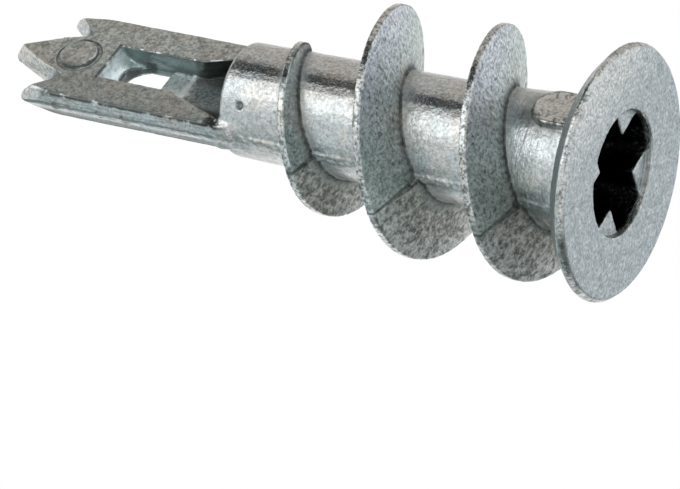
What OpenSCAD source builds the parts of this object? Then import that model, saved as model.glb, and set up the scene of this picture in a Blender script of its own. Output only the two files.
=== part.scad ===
// Self-drilling plasterboard anchor, cast in one piece from zinc.
// It stands on its flange: the flange's outer face lies on z = 0 and the drill point is at the top.
// X runs across the drill blade, Y runs out of its flat face, which is the way the mould opens,
// so the plane y = 0 is the parting plane of the casting.

/* [Overall] */
// Height from the flange's outer face to the drill point
length = 39; // [34:0.5:50]

/* [Flange] */
// Diameter of the flange
flange_d = 14.3; // [12:0.1:20]
// Thickness of the flange inside the bevels of its rim
flange_t = 1.2; // [0.8:0.05:1.4]
// Thickness of the flange beside the neck
flange_root_t = 1.4; // [1.2:0.05:1.6]
// Width of the bevel round the outer face
front_bevel = 0.22; // [0.05:0.01:0.4]
// Height of that bevel
front_bevel_h = 0.3; // [0.1:0.05:0.4]
// Width of the bevel round the face towards the wall
back_bevel = 0.85; // [0.2:0.05:1.2]
// Width of the plain rim between the bevels
rim_w = 0.15; // [0.1:0.05:0.3]

/* [Body] */
// Diameter of the neck beside the flange
neck_d = 7.8; // [7.2:0.1:9]
// Height at which the neck has narrowed to the body
neck_h = 8.5; // [5:0.5:12]
// Diameter of the body
body_d = 6.9; // [6.2:0.1:8]
// Diameter of the body at its tip end
body_end_d = 6.5; // [6:0.1:8]
// Height of the body's tip end
body_end = 23.7; // [22.5:0.1:26]
// Chamfer round the body's tip end
body_chamfer = 0.2; // [0.1:0.05:0.8]
// Width of the raised parting line
seam_w = 0.5; // [0.2:0.05:1]
// Height of the raised parting line
seam_h = 0.1; // [0.02:0.01:0.2]

/* [Driver recess] */
// Diameter of the recess at the flange's face
recess_d = 7.1; // [5.5:0.1:7.3]
// Diameter of the recess at its floor
recess_floor_d = 5.0; // [4.5:0.1:5.6]
// Depth of the recess
recess_depth = 6.5; // [3:0.5:9]
// Circle through the points of the four driving teeth
tooth_point_d = 4.1; // [3.6:0.05:4.4]
// Width of a tooth at the mouth of the recess
tooth_w = 3.0; // [1.2:0.1:3.4]
// Angle from the X axis to the first tooth
tooth_turn = 39; // [0:1:90]
// Depth of the teeth below the flange's face
tooth_set = 0.4; // [0.1:0.05:1]

/* [Screw bore] */
// Diameter of the bore for the screw
bore_d = 3.4; // [2.8:0.1:3.5]

/* [Thread] */
// Outer diameter of the thread
thread_d = 13.7; // [11:0.1:18]
// Pitch of the thread
pitch = 6.55; // [5.5:0.05:7]
// Pitch of the first turn, which is still growing
first_pitch = 5.4; // [5:0.05:7]
// Number of turns
turns = 3; // [2:1:3]
// Height of the thread's middle line where it ends above the flange
thread_end = 2.95; // [2.5:0.05:3.2]
// Part of each turn's climb that lies on the padded side
padded_share = 0.6; // [0.5:0.01:0.65]
// Thickness of the thread's rim
thread_rim_t = 0.42; // [0.3:0.02:0.8]
// Slope of the thread's flank that faces the flange
flank_low = 15; // [6:0.5:17]
// Slope of the thread's flank that faces the drill point
flank_high = 5; // [2:0.5:10]
// Diameter of the thread where it starts
thread_start_d = 6.5; // [6.2:0.1:8]
// Turns over which the thread grows to its full diameter
taper_turns = 1; // [0.5:0.05:2]
// Step between the two halves of a turn, at the body
half_step = 0.4; // [0.05:0.05:0.6]

/* [Drill blade] */
// Width of the blade at the parting plane
blade_w = 7.2; // [6:0.1:8]
// Thickness of the blade
blade_t = 1.7; // [1.4:0.1:2.6]
// How far each face of the blade is narrower at its edges than the parting plane
blade_draft = 0.18; // [0.1:0.02:0.4]
// The same at the tips of the point and the prongs, which are ground thinner
tip_draft = 0.55; // [0.1:0.05:0.8]
// Width of the drill point at the height of its tip, before its nose is rounded
point_w = 0.9; // [0.4:0.1:1.6]
// Distance from the drill point down to the tips of the side prongs
prong_drop = 2.1; // [1:0.1:3]
// Width of a side prong at the height of its tip, before its nose is rounded
prong_w = 0.6; // [0.3:0.1:1]
// Distance from the drill point down to the notches
notch_drop = 4.0; // [3:0.1:5]
// Distance between the two notches
notch_gap = 3.7; // [3:0.1:4.4]
// Diameter of the raised round pad on the blade
pad_d = 2.2; // [1.2:0.1:2.6]
// Height of the round pad above the blade
pad_h = 0.2; // [0.1:0.05:0.5]
// Width of the groove round the pad
pad_groove_w = 0.25; // [0.1:0.05:0.4]
// Depth of that groove
pad_groove_depth = 0.25; // [0.1:0.05:0.5]
// Distance from the drill point down to the middle of the pad
pad_drop = 4.4; // [4:0.1:5.2]

/* [Window] */
// Width of the window in the blade
window_w = 2.8; // [2:0.1:3.4]
// Distance from the drill point down to the end of the window
window_drop = 6.4; // [6.2:0.1:8]
// Radius of the ramp at the end of the window
ramp_r = 1.7; // [1.4:0.1:2.6]
// Thickness of the floor left under the window
floor_t = 0.45; // [0.3:0.05:0.8]
// Length of the opening through that floor
opening_l = 2.5; // [1.5:0.1:3]
// Width of that opening, which has a round end
opening_w = 2.7; // [1.5:0.1:2.8]
// Distance from the end of the window to that opening
opening_gap = 0.7; // [0.6:0.1:2]
// How far the window flares out beside the body on the +X side
flare = 1.35; // [0:0.05:1.5]
// Length of that flare
flare_l = 4.3; // [2:0.1:6]
// How far the window flares out beside the body on the -X side
back_flare = 1.4; // [0:0.05:1.5]
// Length of that flare
back_flare_l = 3.4; // [1:0.1:6]

/* [Neck pad] */
// Width of the raised pad on the neck
neck_pad_w = 2.7; // [1.5:0.1:3.8]
// Height of the pad's round end above the flange's face
neck_pad_end = 4.7; // [3:0.1:5.5]
// Height of the pad above the neck
neck_pad_h = 0.1; // [0:0.01:0.5]

/* [Hidden] */
$fn = 96;
// Overlap of pieces that are cast together, and reach of cutters past a face
sink = 0.5;
far = 20;
flange_r = flange_d / 2;
neck_r = neck_d / 2;
body_r = body_d / 2;
body_end_r = body_end_d / 2;
thread_r = thread_d / 2;
root_r = body_end_r - sink;
half_t = blade_t / 2;
half_w = blade_w / 2;
notch_z = length - notch_drop;
prong_z = length - prong_drop;
window_end = length - window_drop;
// Steps along each half turn, and the angle over which one half steps to the next
steps = 30;
step_angle = 1.6;
// How far the point and the prongs reach down into the bar, below the notches
point_reach = 3;
prong_reach = 1.2;
bar_gap = 1;
// Edges along each rounded nose
nose_edges = 8;

// Pitch of turn k and height where it starts, both counted from the tip
function turn_pitch(k) = k == 0 ? first_pitch : pitch;
function turn_top(k) = thread_end + (turns - 1 - k) * pitch + turn_pitch(k);
// Drop of the middle line over half number i, and the height where that half starts
function half_drop(i) = turn_pitch(floor(i / 2)) * (i % 2 == 0 ? padded_share : 1 - padded_share);
function half_top(i) = turn_top(floor(i / 2)) - (i % 2 == 0 ? 0 : half_drop(i - 1));
function rim_r(turn) =
    min(thread_r, thread_start_d / 2 + (thread_r - thread_start_d / 2) * turn / taper_turns);
// Half thickness of the fin at the radius where it sinks into the body, for a flank of the given slope
function root_half(rim, slope) = thread_rim_t / 2 + (rim - root_r) * tan(slope);

// Four corners of the fin's section at share u of half i: root and rim below, rim and root above
function fin_section(i, u) =
    let (swept = 180 * i + step_angle / 2 + (180 - step_angle) * u,
         a = 180 - swept,
         rim = rim_r(swept / 360),
         z = half_top(i) - half_drop(i) * u,
         step = half_step * (rim - root_r) / (thread_r - root_r),
         low = root_half(rim, flank_low) + step * max(0, 1 - 2 * u),
         high = root_half(rim, flank_high) + step * max(0, 2 * u - 1))
    [[root_r * cos(a), root_r * sin(a), z - low],
     [rim * cos(a), rim * sin(a), z - thread_rim_t / 2],
     [rim * cos(a), rim * sin(a), z + thread_rim_t / 2],
     [root_r * cos(a), root_r * sin(a), z + high]];

// The whole thread is one sweep of that section, with a crease and a step at every half turn
module thread() {
    sections = [for (i = [0 : 2 * turns - 1], j = [0 : steps]) fin_section(i, j / steps)];
    last = len(sections) - 1;
    points = [for (s = sections, p = s) p];
    sides = [for (k = [0 : last - 1], c = [0 : 3])
        [4 * k + c, 4 * k + 4 + c, 4 * k + 4 + (c + 1) % 4, 4 * k + (c + 1) % 4]];
    ends = [[0, 1, 2, 3], [4 * last + 3, 4 * last + 2, 4 * last + 1, 4 * last]];
    polyhedron(points = points, faces = concat(sides, ends), convexity = 8);
}

// Flange, neck and body as one turned profile
module turned_body() {
    rotate_extrude()
        polygon([
            [0, 0],
            [flange_r - front_bevel, 0],
            [flange_r, front_bevel_h],
            [flange_r, front_bevel_h + rim_w],
            [flange_r - back_bevel, flange_t],
            [neck_r, flange_root_t],
            [body_r, neck_h],
            [body_end_r, body_end - body_chamfer],
            [body_end_r - body_chamfer, body_end],
            [0, body_end]
        ]);
}

// Raised line along both sides of the body where the mould halves meet
module seam() {
    rotate([90, 0, 0])
        linear_extrude(height = seam_w, center = true)
            for (side = [0, 1])
                mirror([side, 0])
                    polygon([
                        [root_r, flange_t],
                        [neck_r + seam_h, flange_t],
                        [body_r + seam_h, neck_h],
                        [body_end_r + seam_h, body_end - body_chamfer],
                        [body_end_r - body_chamfer, body_end],
                        [root_r - sink, body_end]
                    ]);
}

// Everything left of the line a to b in the XZ plane, with an edge that is drafted both ways
module drafted_side(a, b, draft) {
    run = norm(b - a);
    translate([a.x, 0, a.y])
        rotate([0, -atan2(b.y - a.y, b.x - a.x), 0])
            translate([-far, 0, 0])
                rotate([90, 0, 90])
                    linear_extrude(height = run + 2 * far)
                        polygon([
                            [0, 0],
                            [half_t, draft],
                            [half_t, 2 * far],
                            [-half_t, 2 * far],
                            [-half_t, draft]
                        ]);
}

// Flat plate with drafted edges from a convex outline, listed the way that keeps the plate on the left;
// the edges of a nose start at corner number tip
module drafted_plate(outline, tip = 99) {
    intersection_for (i = [0 : len(outline) - 1]) {
        on_nose = i >= tip && i < tip + nose_edges;
        drafted_side(outline[i], outline[(i + 1) % len(outline)], on_nose ? tip_draft : blade_draft);
    }
}

// Corners along a round nose with its middle at x, z, between two angles
function nose(x, z, r, from, to) =
    [for (k = [0 : nose_edges])
        let (a = from + (to - from) * k / nose_edges)
            [x + r * cos(a), z + r * sin(a)]];

// Drill blade: a bar that comes out of the body, the drill point and a prong on each side
module blade() {
    root_z = notch_z - point_reach;
    point_slope = (notch_gap - point_w) / 2 / notch_drop;
    point_root = notch_gap / 2 + point_slope * point_reach;
    point_a = atan(point_slope);
    point_r = point_w / 2 / (1 / cos(point_a) - point_slope);
    inner_slope = (half_w - prong_w - notch_gap / 2) / (prong_z - notch_z);
    inner_root = notch_gap / 2 - inner_slope * prong_reach;
    inner_a = atan(inner_slope);
    prong_r = prong_w / (1 / cos(inner_a) + 1 - inner_slope);
    drafted_plate([
        [-half_w, body_end - 2 * sink],
        [half_w, body_end - 2 * sink],
        [half_w, notch_z - bar_gap],
        [-half_w, notch_z - bar_gap]
    ]);
    drafted_plate(concat(
        [[-point_root, root_z], [point_root, root_z]],
        nose(0, length - point_r, point_r, point_a, 180 - point_a)
    ), tip = 2);
    for (side = [0, 1])
        mirror([side, 0, 0])
            drafted_plate(concat(
                [[inner_root, root_z], [half_w, root_z]],
                nose(half_w - prong_r, prong_z - prong_r, prong_r, 0, 180 - inner_a),
                [[inner_root, notch_z - prong_reach]]
            ), tip = 2);
    translate([0, 0, length - pad_drop])
        rotate([-90, 0, 0])
            cylinder(d = pad_d, h = half_t + pad_h);
}

// Groove round the pad on the blade
module pad_groove() {
    translate([0, half_t - pad_groove_depth, length - pad_drop])
        rotate([-90, 0, 0])
            difference() {
                cylinder(d = pad_d + 2 * pad_groove_w, h = far);
                translate([0, 0, -sink])
                    cylinder(d = pad_d, h = far + 2 * sink);
            }
}

// Raised pad on the neck with a round end, where an ejector pin pushes
module neck_pad() {
    top = neck_r + neck_pad_h;
    rotate([-90, 0, 0])
        linear_extrude(height = top)
            mirror([0, 1]) {
                translate([0, neck_pad_end - neck_pad_w / 2])
                    circle(d = neck_pad_w);
                translate([-neck_pad_w / 2, flange_t / 2])
                    square([neck_pad_w, neck_pad_end - neck_pad_w / 2 - flange_t / 2]);
            }
}

// Recess in the flange with four driving teeth left standing
module recess() {
    slope = (recess_d - recess_floor_d) / 2 / recess_depth;
    mouth_r = recess_d / 2;
    difference() {
        translate([0, 0, -sink])
            cylinder(r1 = mouth_r + slope * sink, r2 = recess_floor_d / 2, h = recess_depth + sink);
        for (i = [0 : 3])
            rotate(tooth_turn + 90 * i)
                translate([0, 0, tooth_set])
                    linear_extrude(height = recess_depth)
                        polygon([
                            [tooth_point_d / 2, 0],
                            [mouth_r, -tooth_w / 2],
                            [mouth_r + sink, -tooth_w / 2],
                            [mouth_r + sink, tooth_w / 2],
                            [mouth_r, tooth_w / 2]
                        ]);
    }
    translate([0, 0, recess_depth - sink])
        cylinder(d = bore_d, h = body_end - recess_depth + sink);
}

// Window in the blade: a trough with a round ramp at its end, flared beside the body, and in its floor an
// opening that is round towards the point and straight towards the body
module window() {
    floor_y = floor_t - half_t;
    half = window_w / 2;
    intersection() {
        rotate([90, 0, 0])
            linear_extrude(height = 2 * far, center = true)
                polygon([
                    [-half - back_flare, body_end],
                    [half + flare, body_end],
                    [half, body_end + flare_l],
                    [half, window_end + sink],
                    [-half, window_end + sink],
                    [-half, body_end + back_flare_l]
                ]);
        rotate([90, 0, 90])
            linear_extrude(height = 2 * far, center = true) {
                ramp_z = window_end - sqrt(pow(ramp_r, 2) - pow(floor_y + ramp_r - half_t, 2));
                translate([floor_y + ramp_r, ramp_z])
                    circle(r = ramp_r);
                translate([floor_y, body_end])
                    square([far, ramp_z - body_end]);
            }
    }
    opening_end = window_end - opening_gap;
    rotate([90, 0, 0])
        linear_extrude(height = far)
            intersection() {
                union() {
                    translate([0, opening_end - opening_w / 2])
                        circle(d = opening_w);
                    translate([-opening_w / 2, opening_end - opening_l])
                        square([opening_w, opening_l - opening_w / 2]);
                }
                translate([-opening_w / 2, opening_end - opening_l])
                    square([opening_w, opening_l]);
            }
}

module anchor_body() {
    color([0.66, 0.67, 0.68])
        difference() {
            union() {
                turned_body();
                thread();
                seam();
                blade();
                neck_pad();
            }
            recess();
            window();
            pad_groove();
        }
}

anchor_body();
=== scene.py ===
import math
from types import SimpleNamespace

import bmesh
import bpy
from mathutils import Matrix, Vector, noise


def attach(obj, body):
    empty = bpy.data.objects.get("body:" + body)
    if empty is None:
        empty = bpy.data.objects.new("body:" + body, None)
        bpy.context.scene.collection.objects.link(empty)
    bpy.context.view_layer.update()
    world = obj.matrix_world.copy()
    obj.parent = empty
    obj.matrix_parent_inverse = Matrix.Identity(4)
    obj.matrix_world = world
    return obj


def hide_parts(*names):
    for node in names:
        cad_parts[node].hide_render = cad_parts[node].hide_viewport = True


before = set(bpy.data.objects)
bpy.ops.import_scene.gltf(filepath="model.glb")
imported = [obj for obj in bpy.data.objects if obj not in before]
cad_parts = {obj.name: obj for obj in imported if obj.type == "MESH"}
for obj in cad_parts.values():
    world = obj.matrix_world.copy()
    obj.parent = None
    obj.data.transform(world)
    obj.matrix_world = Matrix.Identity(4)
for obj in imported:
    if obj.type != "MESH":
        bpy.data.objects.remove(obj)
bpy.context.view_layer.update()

# Metres in a millimetre, and the middle of the part in metres
MM = 0.001
MIDDLE = Vector((0, 0, 19.5 * MM))

# Places on the solid in millimetres. The slope is what the recess's radius loses in each of them
RECESS_RADIUS = 3.55
RECESS_SLOPE = 0.1615
NECK_PAD_MIDDLE = 3.35
NECK_PAD_RADIUS = 1.35
BODY_END = 23.7
BLADE_TOP = 0.85
PAD_PLACE = 34.6
WINDOW_FLOOR = -0.4
WINDOW_END = 32.6
OPENING_MIDDLE = 30.55
OPENING_RADIUS = 1.35

# The skin of the casting in millimetres
VOXEL = 0.085
WELD = 0.0001
RIPPLE_HEIGHT = 0.012
RIPPLE_SIZE = 1.6
LUMP_HEIGHT = 0.01
LUMP_SIZE = 0.45
FLASH_HEIGHT = 0.07
FLASH_SIZE = 0.55
FLASH_HALF = 0.22
PIT_PLACE = Vector((2.63, 1.95, 22.3))
PIT_RADIUS = 0.32
PIT_DEPTH = 0.3
CHANNEL_HALF = 1.7
CHANNEL_END = 27.9
CHANNEL_SLOPE = 0.5
CHANNEL_DEPTH = 0.22
CHANNEL_NEAR = 0.1
GROOVE_REACH = 1.5
GROOVE_LOWEST = 0.5
RUN_OUT_START = 22.2
RUN_OUT_LOW = 3.25
RUN_OUT_HIGH = 3.62
RUN_OUT_HALF = 1.0
RUN_OUT_INSIDE = 2.6
ROUNDED_FROM = 2.2
POINTS_FROM = 36.3
CREVICE_REACH = 0.7
EDGE_REACH = 0.3

# Shares: the finer noise in the parting line and how much finer it is, the groove's filling,
# where the run-out stops along its length, and the least part of a normal that faces an axis
FLASH_FINE_SHARE = 0.5
FLASH_FINER = 2.7
GROOVE_SHARE = 0.5
RUN_OUT_STOP = 1.05
FACING_LEAST = 0.5

# How often and how strongly edges are smoothed, the rays that look for crevices and edges,
# and the most triangles that are kept
EDGE_SMOOTHING = 0.5
EDGE_PASSES = 3
BLADE_PASSES = 10
CREVICE_RAYS = 8
MOST_TRIANGLES = 190000

# Tones of bare metal, of tarnish and of dirt. Some of them also paint light and shade: the dirt tone and
# black paint shade as well, the sky tone paints a reflection of the sky, and the pale, teal, deep and bright
# tones paint light and shade in some of the layers below
COOL = (0.60, 0.64, 0.65, 1.0)
WARM = (0.65, 0.64, 0.61, 1.0)
GREY = (0.66, 0.70, 0.67, 1.0)
SLATE = (0.63, 0.67, 0.67, 1.0)
BLUE = (0.52, 0.59, 0.635, 1.0)
PALE = (0.76, 0.82, 0.92, 1.0)
GREEN = (0.68, 0.80, 0.78, 1.0)
# A painted reflection of the sky, laid on the ramp and the window's floor
SKY_REFLECTION = (0.84, 0.97, 1.0, 1.0)
BRIGHT = (0.86, 0.88, 0.88, 1.0)
EARTH = (0.62, 0.58, 0.53, 1.0)
BROWN = (0.56, 0.54, 0.50, 1.0)
DULL = (0.34, 0.40, 0.41, 1.0)
TEAL = (0.19, 0.245, 0.235, 1.0)
DEEP = (0.17, 0.20, 0.19, 1.0)
# Dirt, and also painted shade along creases, round pads and in hollows
DIRT_AND_SHADE = (0.06, 0.07, 0.065, 1.0)
BLACK = (0.012, 0.013, 0.013, 1.0)

# The camera, as the photograph was taken: lens and sensor in millimetres, the rest in metres
CAMERA_PLACE = Vector((177.827, 174.171, -114.057)) * MM
CAMERA_RIGHT = Vector((-0.46398, -0.18186, -0.86698))
CAMERA_UP = Vector((-0.63691, 0.74871, 0.18380))
LENS = 268.19
SENSOR = 36.0
CLIP_NEAR = 0.01
CLIP_FAR = 10.0

# The floor in metres, and the strength of the world as a light
FLOOR_RADIUS = 1.5
FLOOR_CORNERS = 96
FLOOR_HEIGHT = -0.02 * MM
FLOOR_COLOUR = (0.86, 0.86, 0.86, 1.0)
WORLD_FILL = 0.6

# The cards round the axis: angles in degrees, heights in metres, colour
CARD_RADIUS = 0.3
CARD_STEPS = 16
CARDS = {
    "dark_card": ((95, 122), (0.0, 0.6), (0.012, 0.02, 0.022, 1.0)),
    "warm_card": ((122, 200), (-0.1, 0.6), (0.67, 0.63, 0.60, 1.0)),
    "side_card": ((-14, 26), (-0.1, 0.6), (0.90, 0.93, 0.94, 1.0)),
    "under_card": ((-62, -14), (-0.1, 0.6), (0.57, 0.65, 0.675, 1.0)),
    "shade_card": ((-120, -28), (-0.6, -0.1), (0.2, 0.21, 0.2, 1.0)),
}

# The lamp: its angle round the axis in degrees, its rise for each metre outward, metres and watts
LAMP_ANGLE = 61
LAMP_RISE = 0.52
LAMP_AWAY = 0.28
LAMP_WIDTH = 0.20
LAMP_HEIGHT = 0.30
LAMP_POWER = 0.15


class Wire:
    """A socket of a node tree. Arithmetic on wires adds Math nodes to the tree."""

    def __init__(self, tree, socket=None):
        self.tree = tree
        self.socket = socket

    def node(self, kind, settings=None, values=None, output=0):
        """Adds a node, makes its settings, then fills or links its sockets."""
        made = self.tree.nodes.new(kind)
        for name, value in (settings or {}).items():
            setattr(made, name, value)
        for name, value in (values or {}).items():
            if isinstance(value, Wire):
                self.tree.links.new(value.socket, made.inputs[name])
            else:
                made.inputs[name].default_value = value
        return Wire(self.tree, made.outputs[output] if made.outputs else None)

    def maths(self, operation, *terms):
        """Adds a Math node."""
        return self.node("ShaderNodeMath", {"operation": operation}, dict(enumerate(terms)))

    def __add__(self, other):
        return self.maths("ADD", self, other)

    __radd__ = __add__

    def __sub__(self, other):
        return self.maths("SUBTRACT", self, other)

    def __rsub__(self, other):
        return self.maths("SUBTRACT", other, self)

    def __mul__(self, other):
        return self.maths("MULTIPLY", self, other)

    __rmul__ = __mul__

    def parts(self, vector):
        """The three parts of a vector."""
        apart = self.node("ShaderNodeSeparateXYZ", {}, {0: vector})
        return [Wire(self.tree, output) for output in apart.socket.node.outputs]

    def length(self, first, second):
        """The long side over two sides at right angles."""
        return self.maths("SQRT", first * first + second * second)

    def size(self):
        """The value without its sign."""
        return self.maths("ABSOLUTE", self)

    def larger(self, other):
        """The larger of two values."""
        return self.maths("MAXIMUM", self, other)

    def clamp(self):
        """The value kept from 0 to 1."""
        return self.maths("MINIMUM", self.larger(0.0), 1.0)

    def between(self, low, high):
        """0 at low, 1 at high, with soft ends."""
        settings = {"interpolation_type": "SMOOTHSTEP"}
        return self.node("ShaderNodeMapRange", settings, {"Value": self, "From Min": low, "From Max": high})

    def mixed(self, first, second):
        """The first colour where this wire is 0 and the second where it is 1."""
        return self.node("ShaderNodeMix", {"data_type": "RGBA"}, {0: self, 6: first, 7: second}, 2)


def new_material(name):
    """An empty node material and a wire to build it with."""
    material = bpy.data.materials.new(name)
    material.use_nodes = True
    material.node_tree.nodes.clear()
    return material, Wire(material.node_tree)


def speckle(net, place, scale, detail, roughness=0.55):
    """Noise with about as many marks in a millimetre as the scale says."""
    settings = {"noise_dimensions": "3D"}
    values = {"Vector": place, "Scale": scale, "Detail": detail, "Roughness": roughness}
    return net.node("ShaderNodeTexNoise", settings, values, 0)


def surface_places(net):
    """Where a point of the surface lies in millimetres, and which way it faces."""
    coordinates = net.node("ShaderNodeTexCoord", output=3)
    normal = Wire(net.tree, coordinates.socket.node.outputs["Normal"])
    at = SimpleNamespace()
    at.place = net.node("ShaderNodeVectorMath", {"operation": "SCALE"}, {0: coordinates, "Scale": 1.0 / MM})
    at.x, at.y, at.z = net.parts(at.place)
    at.facing_x, at.facing_y, at.facing_z = net.parts(normal)
    at.reach = net.length(at.x, at.y)
    return at


def skin_patterns(net, place):
    """The patterns of the skin, from fine grain to wide clouds, and its crevices and edges."""
    skin = SimpleNamespace()
    skin.grain = speckle(net, place, 5.2, 3.0, 0.7)
    skin.mottle = skin.grain.between(0.36, 0.64)
    skin.fine = speckle(net, place, 9.0, 2.0)
    skin.specks = speckle(net, place, 3.6, 2.0, 0.6)
    skin.clouds = speckle(net, place, 0.55, 3.0)
    skin.stains = speckle(net, place, 1.5, 4.0, 0.65)
    skin.blots = speckle(net, place, 2.6, 3.0, 0.6)
    along = net.node("ShaderNodeMapping", {}, {"Vector": place, "Scale": (10.0, 10.0, 0.5)})
    skin.streaks = speckle(net, along, 1.0, 2.0)
    around = net.node("ShaderNodeMapping", {}, {"Vector": place, "Scale": (0.8, 0.8, 9.0)})
    skin.rings = speckle(net, around, 1.0, 2.0)
    hollow = {"samples": CREVICE_RAYS, "only_local": True}
    skin.crevice = 1.0 - net.node("ShaderNodeAmbientOcclusion", hollow, {"Distance": CREVICE_REACH * MM}, 1)
    proud = {"samples": CREVICE_RAYS, "only_local": True, "inside": True}
    skin.edge = 1.0 - net.node("ShaderNodeAmbientOcclusion", proud, {"Distance": EDGE_REACH * MM}, 1)
    return skin


def main_faces(at, on):
    """Masks for the ways in which faces lie. Each mask is 1 on its faces and 0 elsewhere."""
    on.level = at.facing_z.size().between(0.55, 0.85)
    on.steep = 1.0 - on.level
    on.blade = at.z.between(BODY_END - 0.3, BODY_END + 0.1)
    on.body = 1.0 - on.blade
    on.flat = at.facing_y.size().between(0.8, 0.95) * on.blade
    on.side = at.facing_x.size().between(0.75, 0.95)


def flange_faces(at, on):
    """Masks for the flange, its recess and the bore behind it."""
    on.outer_face = on.level * at.z.between(0.9, 0.3)
    on.rim_back = at.z.between(0.42, 0.55) * at.z.between(1.35, 1.2) * at.reach.between(5.9, 6.2)
    on.rim_front = at.z.between(0.05, 0.15) * at.z.between(0.45, 0.35) * at.reach.between(6.8, 6.95)
    on.tooth_top = on.level * at.reach.between(3.75, 3.6) * at.z.between(0.9, 0.6)
    inward = at.reach + at.z * RECESS_SLOPE
    recess_wall = inward.between(RECESS_RADIUS + 0.13, RECESS_RADIUS + 0.03)
    tooth_side = inward.between(RECESS_RADIUS - 0.1, RECESS_RADIUS - 0.25)
    on.recess = recess_wall * (at.z - tooth_side * 0.45).between(0.2, 0.5) * (1.0 - on.tooth_top)
    on.bore = at.reach.between(2.1, 1.8) * at.z.between(1.0, 2.0) * at.z.between(23.6, 22.6)


def fin_faces(at, on):
    """Masks for the thread: its faces, its rim, its root and the crease where its halves meet."""
    past_flange = at.z.between(1.5, 1.8) * on.body
    on.fins = on.level * at.reach.between(3.6, 4.2) * past_flange
    on.lower_half = on.fins * at.y.between(0.1, -0.1) * at.facing_z.between(0.2, -0.2)
    on.other_fins = on.fins - on.lower_half
    on.near_root = at.reach.between(6.2, 3.6)
    off_body = at.reach.between(3.95, 4.1) * past_flange
    beside_crease = (at.y + 0.03).size() - on.near_root * 0.05
    on.crease = off_body * beside_crease.between(0.12, 0.04) * (0.75 + on.near_root * 0.15)
    on.fin_rim = off_body * on.steep
    sloping = at.facing_z.size().between(0.12, 0.3) * at.facing_z.size().between(0.94, 0.86)
    on.fin_root = sloping * at.reach.between(4.3, 4.1) * at.z.between(1.2, 1.6) * at.z.between(22.0, 21.6)


def body_faces(net, at, on):
    """Masks for the neck, its pad, the parting line and the side of the body."""
    on.neck = at.z.between(6.2, 5.0) * on.steep
    padded = at.y.between(3.0, 3.4) * on.neck
    pad_reach = net.length(at.x, (at.z - NECK_PAD_MIDDLE).larger(0.0)) - NECK_PAD_RADIUS
    on.neck_pad = pad_reach.between(0.05, -0.1) * padded
    on.neck_pad_edge = pad_reach.between(-0.2, -0.07) * pad_reach.between(0.21, 0.1) * padded
    on.bare_neck = on.neck * (1.0 - on.neck_pad)
    on.seam = at.y.size().between(0.5, 0.3) * on.steep * on.body
    on.underside = at.y.between(-0.4, -1.2) * on.steep * on.body
    end_side = at.facing_x.between(0.45, 0.7) * at.z.between(19.0, 22.0) * on.body
    on.end_low = end_side * at.y.between(-0.3, -1.0)
    from_pit = net.node("ShaderNodeVectorMath", {"operation": "DISTANCE"}, {0: at.place, 1: PIT_PLACE}, 1)
    on.pit = from_pit.between(0.28, 0.1)


def blade_faces(net, at, on):
    """Masks for the blade's narrow sides, its rounded edges, its pad and its root."""
    on.drawn_out = on.side * at.z.between(22.5, 24.0)
    on.blade_side = on.drawn_out * at.x.size().between(2.3, 2.6)
    on.side_low = on.blade_side * at.y.between(-0.28, -0.5)
    on.rounded = on.blade * at.facing_x.size().between(0.2, 0.4) * at.facing_y.size().between(0.2, 0.4)
    beside_bore = at.x.size().between(1.5, 1.8) * at.y.between(0.6, 0.75)
    on.arm_root = on.blade * at.z.between(24.9, 24.2) * beside_bore
    on.pad_ring = on.blade * net.length(at.x, at.z - PAD_PLACE).between(1.65, 1.5) * at.y.between(0.4, 0.5)


def window_faces(net, at, on):
    """Masks for the window: its ramp, its walls, its floor, and the opening and the channel in that floor."""
    wide = at.x.size()
    inside = on.blade * wide.between(2.95, 2.75) * at.z.between(33.0, 32.7)
    inside = inside * at.y.between(0.84, 0.7) * at.y.between(-0.8, -0.68)
    on.ramp = inside * at.z.between(30.3, 30.9) * wide.between(1.5, 1.36)
    on.ramp_corner = inside * at.z.between(30.5, 31.0) * wide.between(1.2, 1.36)
    on.ramp_edge = on.blade * (at.z - WINDOW_END).size().between(0.16, 0.07) * wide.between(1.6, 1.45)
    on.ramp_edge = on.ramp_edge * at.y.between(0.5, 0.7)
    from_opening = (net.length(at.x, at.z - OPENING_MIDDLE) - OPENING_RADIUS).size()
    round_end = from_opening.between(0.2, 0.08) * at.z.between(30.3, 30.6)
    on.opening_wall = inside * round_end * at.y.between(0.08, -0.1)
    on.window_wall = inside * on.side
    on.window_floor = inside * on.flat * at.z.between(27.6, 28.0) * at.z.between(30.2, 29.9)
    on.window_edge = on.rounded * wide.between(2.1, 1.9) * at.z.between(33.3, 33.0)
    on.window_root = inside * at.z.between(CHANNEL_END, CHANNEL_END - 0.4)
    on.window_lip = inside * (at.z - CHANNEL_END).size().between(0.2, 0.08) * at.facing_y.between(0.3, 0.5)
    on.channel = wide.between(1.2, 0.6) * on.flat


def edge_and_corner_masks(at, on, skin):
    """Masks for darkened edges, and for painted shade in crevices."""
    worn = skin.stains.between(0.3, 0.5)
    darkened_blade_edge = on.rounded * at.z.between(35.6, 35.0) * worn
    on.worn_edge = darkened_blade_edge.larger(on.window_edge * 0.9).larger(on.ramp_edge * worn)
    shade_share = (1.0 - on.tooth_top * 0.5) * (1.0 - on.ramp * 0.7) * (1.0 - on.pad_ring * 0.6)
    # Painted shade: darkening in crevices, found by occlusion; it is weaker on the teeth's tops, the ramp and
    # the pad's ring
    on.corner = (skin.crevice * shade_share).between(0.05, 0.22)


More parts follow.
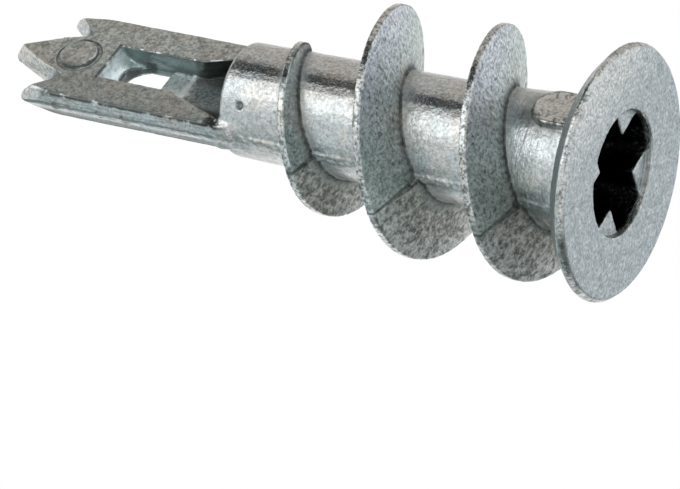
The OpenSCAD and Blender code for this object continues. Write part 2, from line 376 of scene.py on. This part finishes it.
def base_layers(at, on, skin):
    """The tones that the parts of the casting have as a whole, with painted light on the upper fins, the
    flange's top and the body's underside, and painted shade towards the fins' root.
    """
    return [
        (on.flat, GREY),
        (on.flat * skin.clouds.between(0.42, 0.56) * 0.7, EARTH),
        (on.flat * at.x.between(0.8, 2.2) * 0.3, DEEP),
        # Painted light: the fins, green-grey, turn paler towards the top
        (on.fins, at.y.between(2.5, 6.0).mixed(GREEN, PALE)),
        (on.lower_half, at.reach.between(6.6, 4.6).mixed(SLATE, BROWN)),
        (on.outer_face, BLUE),
        # Painted light: the flange's face turns brighter towards the top
        (on.outer_face * at.y.between(2.5, 6.5) * 0.8, BRIGHT),
        (on.outer_face * skin.stains.between(0.52, 0.34) * 0.35, BRIGHT),
        # Painted shade: the fins turn darker towards their root
        (on.other_fins * on.near_root * 0.2, TEAL),
        (on.other_fins * on.near_root * skin.clouds.between(0.5, 0.62) * 0.6, EARTH),
        (on.other_fins * skin.stains.between(0.5, 0.34) * 0.4, BRIGHT),
        # Painted light: the body's underside is brighter
        (on.underside * 0.8, BRIGHT),
    ]


def grain_layers(on, skin):
    """Tarnish, blots, grain and specks."""
    matting = 0.45 + on.fins * 0.3 - on.lower_half * 0.35 + on.outer_face * 0.15 + on.flat * 0.15
    # The underside, under its painted light, and the neck pad are less mottled
    matting = matting - on.underside * 0.2 - on.neck_pad * 0.3
    speckling = 0.35 + on.other_fins * 0.3 + on.flat * 0.15 - on.neck_pad * 0.2
    return [
        (skin.stains.between(0.46, 0.7) * (0.3 + on.lower_half * 0.5 + on.flat * 0.2), DEEP),
        (skin.blots.between(0.48, 0.62) * on.lower_half * 0.7, DIRT_AND_SHADE),
        (skin.blots.between(0.48, 0.36) * on.lower_half * 0.6, BRIGHT),
        (skin.blots.between(0.5, 0.64) * on.flat * 0.4, DEEP),
        (skin.mottle * matting, DEEP),
        (skin.specks.between(0.56, 0.7) * speckling, DIRT_AND_SHADE),
        (skin.specks.between(0.46, 0.32) * on.fins * 0.4, BRIGHT),
        (skin.fine.between(0.54, 0.7) * (0.25 + on.fins * 0.15), BRIGHT),
    ]


def wear_layers(at, on, skin):
    """Draw marks on the blade's sides, rings and stains on the neck, and darkened rims and edges; also
    painted highlights on the blade's side ridge and on edges, and painted shade on the neck and on the back
    of the flange's rim.
    """
    uneven = (skin.stains - 0.5) * 0.5
    side_edge = on.blade_side * (at.y - 0.72 + uneven * 0.3).size().between(0.14, 0.05)
    side_line = on.blade_side * (at.y - 0.05 + uneven * 0.4).size().between(0.12, 0.03)
    side_ridge_highlight = on.blade_side * (at.y + 0.22 + uneven * 0.4).size().between(0.16, 0.04)
    return [
        (on.drawn_out * skin.streaks.between(0.45, 0.65) * 0.45, DEEP),
        (on.side_low * 0.6, DEEP),
        (on.end_low * (0.35 + skin.streaks.between(0.4, 0.6) * 0.25), DEEP),
        # Painted highlight: a bright line along the blade's side, at the lower edge of the parting line
        (side_ridge_highlight * 0.45, BRIGHT),
        (side_line * 0.75, DEEP),
        (side_edge * skin.stains.between(0.42, 0.52) * 0.85, DIRT_AND_SHADE),
        (on.bare_neck * skin.rings.between(0.5, 0.68) * 0.4, DEEP),
        # Painted shade: the top of the neck is darker
        (on.bare_neck * at.facing_y.between(0.88, 0.96) * 0.5, TEAL),
        (on.neck_pad * 0.08, BRIGHT),
        # Painted shade: the lower side of the neck is darker, broken up by stains
        (on.neck * at.y.between(1.8, 0.4) * skin.stains.between(0.2, 0.62) * 0.75, DEEP),
        # Painted reflection: the back of the flange's rim is dark teal, as it reflects dark surroundings
        (on.rim_back * (0.3 + skin.mottle * 0.4), TEAL),
        (on.rim_front * skin.grain.between(0.42, 0.6) * skin.stains.between(0.42, 0.6) * 0.7, DIRT_AND_SHADE),
        (on.seam * skin.blots.between(0.42, 0.6) * 0.6, DEEP),
        # Painted highlight: convex edges are lighter, broken up by grain
        (skin.edge.between(0.5, 0.9) * skin.grain.between(0.56, 0.44) * 0.3, BRIGHT),
        (on.worn_edge * 0.8, DIRT_AND_SHADE),
        # Painted highlights: broken bright marks on the window's edges
        (on.window_edge * skin.blots.between(0.5, 0.42) * 0.8, BRIGHT),
    ]


def corner_layers(on, skin):
    """Painted shade in crevices and at the root of the thread, and dirt on the rim of the thread."""
    return [
        # Painted shade in crevices, stronger on faces across the axis and on the blade, weaker on the blade's
        # flat faces
        (on.corner * (0.35 + on.level * 0.4 + on.blade * 0.4 - on.flat * 0.2), DEEP),
        # Painted shade at the root of the thread, broken up by stains
        (on.fin_root * (0.35 + skin.stains.between(0.4, 0.6) * 0.4), DIRT_AND_SHADE),
        (on.fin_rim * skin.blots.between(0.46, 0.6) * 0.65, DEEP),
        (on.fin_rim * skin.grain.between(0.5, 0.6) * 0.6, DIRT_AND_SHADE),
        (on.fin_rim * skin.edge.between(0.3, 0.48) * skin.stains.between(0.35, 0.5) * 0.7, DIRT_AND_SHADE),
    ]


def hollow_layers(at, on, skin):
    """Hollow and sheltered places: painted reflections and light on the ramp and the window's floor, painted
    highlights on the teeth's tops and the channel's lip, and painted shade on the window's walls, round the
    opening, along the crease, round the neck pad, in the channel, where the arms meet the body, in the pit,
    the recess and the bore.
    """
    # Painted shade for the recess and the bore: near black with a few specks
    gloom = (skin.specks.between(0.54, 0.7) * 0.5).mixed(BLACK, DEEP)
    return [
        # Painted reflection: the ramp is lightened to the sky's tone that it reflects
        (on.ramp * (0.6 + skin.blots.between(0.6, 0.42) * 0.4), SKY_REFLECTION),
        # Painted light: the teeth's tops are lighter, most at their edges
        (on.tooth_top * (0.1 + skin.edge.between(0.4, 0.7) * 0.5), BRIGHT),
        (on.tooth_top * skin.blots.between(0.52, 0.66) * 0.5, DEEP),
        # Painted light: the window's floor is lightened in the sky's tone
        (on.window_floor * (0.25 + skin.blots.between(0.62, 0.42) * 0.35), SKY_REFLECTION),
        # Painted shade: the window's walls are dark teal
        (on.window_wall * 0.9, TEAL),
        # Painted shade where the ramp meets the window's wall
        (on.ramp_corner * 0.75, TEAL),
        # Painted shadow round the opening's rounded end, broken up by stains
        (on.opening_wall * skin.stains.between(0.3, 0.46) * 0.85, DIRT_AND_SHADE),
        # Painted shadow along the crease where the thread's halves meet
        (on.crease * 0.9, DIRT_AND_SHADE),
        # Painted shadow round the neck pad, broken up by stains
        (on.neck_pad_edge * skin.stains.between(0.4, 0.58) * 0.45, DIRT_AND_SHADE),
        # Painted shade, with dirt, where the bore runs out into the window: darkest near the body, mottled in
        # the channel
        (on.window_root * at.z.between(30.5, 25.5), on.channel.mixed(DIRT_AND_SHADE, DULL)),
        (on.window_root * on.channel * skin.mottle * 0.6, DIRT_AND_SHADE),
        # Painted highlights: bright spots at the channel's lip
        (on.window_lip * skin.blots.between(0.42, 0.52) * 0.9, BRIGHT),
        # Painted shade: black marks where the arms meet the body, in place of crevices there
        (on.arm_root * skin.blots.between(0.42, 0.5) * 0.9, BLACK),
        # Painted shade in the pit
        (on.pit * 0.85, DIRT_AND_SHADE),
        # Painted shade: the recess and the bore are near black
        (on.recess.larger(on.bore), gloom),
    ]


def cast_zinc():
    """Raw die-cast zinc: grey metal with a grainy skin, cloudy tarnish and dirt, with painted shade in its
    crevices and hollows, and painted light, highlights and reflections on some faces and edges.
    """
    material, net = new_material("cast_zinc")
    at = surface_places(net)
    skin = skin_patterns(net, at.place)
    on = SimpleNamespace()
    main_faces(at, on)
    flange_faces(at, on)
    fin_faces(at, on)
    body_faces(net, at, on)
    blade_faces(net, at, on)
    window_faces(net, at, on)
    edge_and_corner_masks(at, on, skin)
    layers = base_layers(at, on, skin) + grain_layers(on, skin) + wear_layers(at, on, skin)
    layers = layers + corner_layers(on, skin) + hollow_layers(at, on, skin)
    colour = skin.clouds.between(0.36, 0.64).mixed(COOL, WARM)
    for strength, tone in layers:
        colour = strength.mixed(colour, tone)
    rough = 0.11 + on.level.larger(on.flat) * 0.28 + skin.grain * 0.08 + skin.stains * 0.05 + on.seam * 0.12
    rough = rough + on.corner * 0.4 + on.fin_root * 0.5 + on.worn_edge * 0.3 + on.ramp_corner * 0.3
    height = skin.grain * 0.022 + skin.fine * 0.012 + skin.stains * 0.012
    height = height + on.drawn_out * skin.streaks * 0.02 + on.neck * skin.rings * 0.015
    bump = net.node("ShaderNodeBump", {}, {"Strength": 1.0, "Distance": MM, "Height": height})
    surface = net.node(
        "ShaderNodeBsdfPrincipled",
        {},
        {"Base Color": colour, "Metallic": 1.0, "Roughness": rough.clamp(), "Normal": bump},
    )
    net.node("ShaderNodeOutputMaterial", {}, {"Surface": surface})
    return material


def new_object(name, data):
    """A new object in the scene."""
    made = bpy.data.objects.new(name, data)
    bpy.context.scene.collection.objects.link(made)
    return made


def applied(body):
    """Makes the body's modifiers part of its mesh."""
    graph = bpy.context.evaluated_depsgraph_get()
    skin = bpy.data.meshes.new_from_object(body.evaluated_get(graph))
    body.modifiers.clear()
    body.data = skin
    return skin


def flash_swell(place):
    """How far the ragged parting line stands out at a place, in millimetres."""
    beside = abs(place.y) / FLASH_HALF
    if beside > 1.0:
        return 0.0
    ragged = noise.noise(place / FLASH_SIZE)
    ragged += FLASH_FINE_SHARE * noise.noise(place / FLASH_SIZE * FLASH_FINER)
    return FLASH_HEIGHT * ragged * (1.0 - beside * beside)


def channel_depth(place, facing):
    """How far the window's floor dips where the bore runs out into it, in millimetres."""
    if facing.y < FACING_LEAST or abs(place.y - WINDOW_FLOOR) > CHANNEL_NEAR:
        return 0.0
    beside = abs(place.x) / CHANNEL_HALF
    left = (CHANNEL_END - place.z) / CHANNEL_SLOPE
    if beside > 1.0 or left < 0.0 or place.z < BODY_END:
        return 0.0
    return CHANNEL_DEPTH * (1.0 - beside * beside) * min(1.0, left)


def pit_depth(place):
    """How far the surface dips at the one pit in the body, in millimetres."""
    away = (place - PIT_PLACE).length / PIT_RADIUS
    if away > 1.0:
        return 0.0
    return PIT_DEPTH * (1.0 - away * away) ** 2


def run_out(place):
    """How far the side of the body swells to meet the wider blade, in millimetres."""
    along = (place.z - RUN_OUT_START) / (BODY_END - RUN_OUT_START)
    beside = abs(place.y) / RUN_OUT_HALF
    if along < 0.0 or along > RUN_OUT_STOP or beside > 1.0 or abs(place.x) < RUN_OUT_INSIDE:
        return 0.0
    wanted = RUN_OUT_LOW + (RUN_OUT_HIGH - RUN_OUT_LOW) * min(1.0, along)
    return max(0.0, wanted - abs(place.x)) * (1.0 - beside ** 4)


def groove_fill(place):
    """How far the ring round the blade's pad is filled up, in millimetres."""
    if math.hypot(place.x, place.z - PAD_PLACE) > GROOVE_REACH or place.y < GROOVE_LOWEST:
        return 0.0
    return max(0.0, BLADE_TOP - place.y) * GROOVE_SHARE


def rounded_blade(form):
    """Softens the blade's outer edges, its points and its root more than the rest."""
    outer = []
    for vertex in form.verts:
        place = vertex.co / MM
        wide = abs(place.x) > ROUNDED_FROM
        if place.z > POINTS_FROM or (wide and place.z > RUN_OUT_START):
            outer.append(vertex)
    every_way = {"use_axis_x": True, "use_axis_y": True, "use_axis_z": True}
    for _ in range(BLADE_PASSES):
        bmesh.ops.smooth_vert(form, verts=outer, factor=EDGE_SMOOTHING, **every_way)
    form.normal_update()


def skin_swell(vertex):
    """How far a point of the skin stands out in millimetres, less the channel and the pit."""
    place = vertex.co / MM
    swell = noise.noise(place / RIPPLE_SIZE) * RIPPLE_HEIGHT
    swell += noise.noise(place / LUMP_SIZE) * LUMP_HEIGHT
    if abs(vertex.normal.z) < FACING_LEAST:
        swell += flash_swell(place)
    return swell - channel_depth(place, vertex.normal) - pit_depth(place)


def soft_solid():
    """The CAD solid as one closed skin of small faces with soft edges."""
    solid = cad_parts["anchor_body"]
    mesh = solid.data.copy()
    form = bmesh.new()
    form.from_mesh(mesh)
    bmesh.ops.remove_doubles(form, verts=form.verts, dist=WELD * MM)
    form.to_mesh(mesh)
    form.free()
    body = new_object("cast_anchor", mesh)
    remesh = body.modifiers.new("skin", "REMESH")
    remesh.mode = "VOXEL"
    remesh.voxel_size = VOXEL * MM
    wrap = body.modifiers.new("true_faces", "SHRINKWRAP")
    wrap.target = solid
    wrap.wrap_method = "NEAREST_SURFACEPOINT"
    soften = body.modifiers.new("soft_edges", "SMOOTH")
    soften.factor = EDGE_SMOOTHING
    soften.iterations = EDGE_PASSES
    return body, applied(body)


def cast_body():
    """The CAD solid with the soft edges, run-outs, ragged parting line and uneven skin of a casting."""
    body, skin = soft_solid()
    form = bmesh.new()
    form.from_mesh(skin)
    for vertex in form.verts:
        vertex.co.x += math.copysign(run_out(vertex.co / MM), vertex.co.x) * MM
        vertex.co.y += groove_fill(vertex.co / MM) * MM
    rounded_blade(form)
    moves = [vertex.normal * skin_swell(vertex) * MM for vertex in form.verts]
    for vertex, move in zip(form.verts, moves):
        vertex.co += move
    bmesh.ops.triangulate(form, faces=form.faces)
    triangles = len(form.faces)
    form.to_mesh(skin)
    form.free()
    if triangles > MOST_TRIANGLES:
        thin = body.modifiers.new("fewer_faces", "DECIMATE")
        thin.ratio = MOST_TRIANGLES / triangles
        skin = applied(body)
    skin.shade_smooth()
    skin.materials.clear()
    skin.materials.append(cast_zinc())
    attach(body, "root")
    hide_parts("anchor_body")


def studio_floor():
    """A pale floor that shows from above and lets the camera below it look through."""
    form = bmesh.new()
    bmesh.ops.create_circle(form, cap_ends=True, radius=FLOOR_RADIUS, segments=FLOOR_CORNERS)
    mesh = bpy.data.meshes.new("floor")
    form.to_mesh(mesh)
    form.free()
    floor = new_object("floor", mesh)
    floor.location = (0, 0, FLOOR_HEIGHT)
    material, net = new_material("pale_floor")
    seen = net.node("ShaderNodeLightPath", output=0)
    behind = net.node("ShaderNodeNewGeometry", output=6)
    paint = net.node("ShaderNodeBsdfDiffuse", {}, {"Color": FLOOR_COLOUR})
    clear = net.node("ShaderNodeBsdfTransparent")
    shown = seen * (1.0 - behind)
    surface = net.node("ShaderNodeMixShader", {}, {0: shown, 1: clear, 2: paint})
    net.node("ShaderNodeOutputMaterial", {}, {"Surface": surface})
    mesh.materials.append(material)


def studio_card(name, angles, heights, colour):
    """A curved card round the part's axis that only its reflections show."""
    form = bmesh.new()
    foot = form.verts.new((CARD_RADIUS, 0, heights[0]))
    head = form.verts.new((CARD_RADIUS, 0, heights[1]))
    post = form.edges.new((foot, head))
    start = Matrix.Rotation(math.radians(angles[0]), 3, "Z")
    bmesh.ops.rotate(form, verts=form.verts, cent=(0, 0, 0), matrix=start)
    sweep = math.radians(angles[1] - angles[0])
    axis = (0, 0, 1)
    bmesh.ops.spin(form, geom=[foot, head, post], cent=(0, 0, 0), axis=axis, angle=sweep, steps=CARD_STEPS)
    mesh = bpy.data.meshes.new(name)
    form.to_mesh(mesh)
    form.free()
    card = new_object(name, mesh)
    material, net = new_material(name)
    glow = net.node("ShaderNodeEmission", {}, {"Color": colour, "Strength": 1.0})
    net.node("ShaderNodeOutputMaterial", {}, {"Surface": glow})
    mesh.materials.append(material)
    card.visible_camera = False
    card.visible_diffuse = False
    card.visible_shadow = False


def front_softbox():
    """The one lamp, a wide soft box in front of the part."""
    turn = math.radians(LAMP_ANGLE)
    away = Vector((math.cos(turn), math.sin(turn), LAMP_RISE)) * LAMP_AWAY
    light = bpy.data.lights.new("front_softbox", "AREA")
    light.shape = "RECTANGLE"
    light.size = LAMP_WIDTH
    light.size_y = LAMP_HEIGHT
    light.energy = LAMP_POWER
    lamp = new_object("front_softbox", light)
    lamp.location = MIDDLE + away
    lamp.rotation_euler = (-away).to_track_quat("-Z", "Y").to_euler()
    lamp.visible_camera = False


def white_world():
    """A world that is white to the camera and in reflections, and dimmer as a light."""
    world = bpy.data.worlds.new("white_world")
    bpy.context.scene.world = world
    world.use_nodes = True
    world.node_tree.nodes.clear()
    net = Wire(world.node_tree)
    path = net.node("ShaderNodeLightPath")
    outputs = path.socket.node.outputs
    camera = Wire(net.tree, outputs["Is Camera Ray"])
    glossy = Wire(net.tree, outputs["Is Glossy Ray"])
    through = Wire(net.tree, outputs["Is Transmission Ray"])
    shown = (camera + glossy + through).clamp()
    strength = shown * (1.0 - WORLD_FILL) + WORLD_FILL
    sky = net.node("ShaderNodeBackground", {}, {"Color": (1.0, 1.0, 1.0, 1.0), "Strength": strength})
    net.node("ShaderNodeOutputWorld", {}, {"Surface": sky})


def photo_camera():
    """The camera that sees the part as the photograph does."""
    data = bpy.data.cameras.new("photo_camera")
    data.lens = LENS
    data.sensor_width = SENSOR
    data.sensor_fit = "HORIZONTAL"
    data.clip_start = CLIP_NEAR
    data.clip_end = CLIP_FAR
    camera = new_object("photo_camera", data)
    back = CAMERA_RIGHT.cross(CAMERA_UP)
    turn = Matrix((CAMERA_RIGHT, CAMERA_UP, back)).transposed()
    camera.matrix_world = Matrix.Translation(CAMERA_PLACE) @ turn.to_4x4()
    bpy.context.scene.camera = camera


bpy.context.scene.view_settings.view_transform = "Standard"
photo_camera()
white_world()
studio_floor()
for card_name, card_form in CARDS.items():
    studio_card(card_name, *card_form)
front_softbox()
cast_body()
